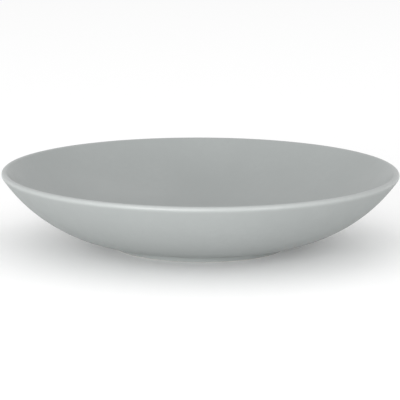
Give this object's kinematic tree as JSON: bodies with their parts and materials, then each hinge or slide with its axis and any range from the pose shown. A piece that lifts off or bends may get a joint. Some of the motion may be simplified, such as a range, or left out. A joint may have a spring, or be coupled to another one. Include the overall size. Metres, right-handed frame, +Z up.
{
  "type": "deep plate",
  "caption": "Deep coupe plate in satin grey glazed ceramic: one curved wall rises from a low foot ring to a rounded lip, to hold soup, pasta or stew.",
  "frame": {"origin": "on the plate's axis, in the plane of the foot ring's standing face", "axes": "+Z up along the plate's axis, towards the open side; X and Y are level and alike, as the plate is round"},
  "size_m": [0.26, 0.26, 0.05],
  "materials": {
    "clay": "matte",
    "glaze": "satin"
  },
  "bodies": {
    "root": {"ceramic_body": "clay", "glaze_coat": "glaze", "base_glaze": "glaze"}
  },
  "joints": []
}
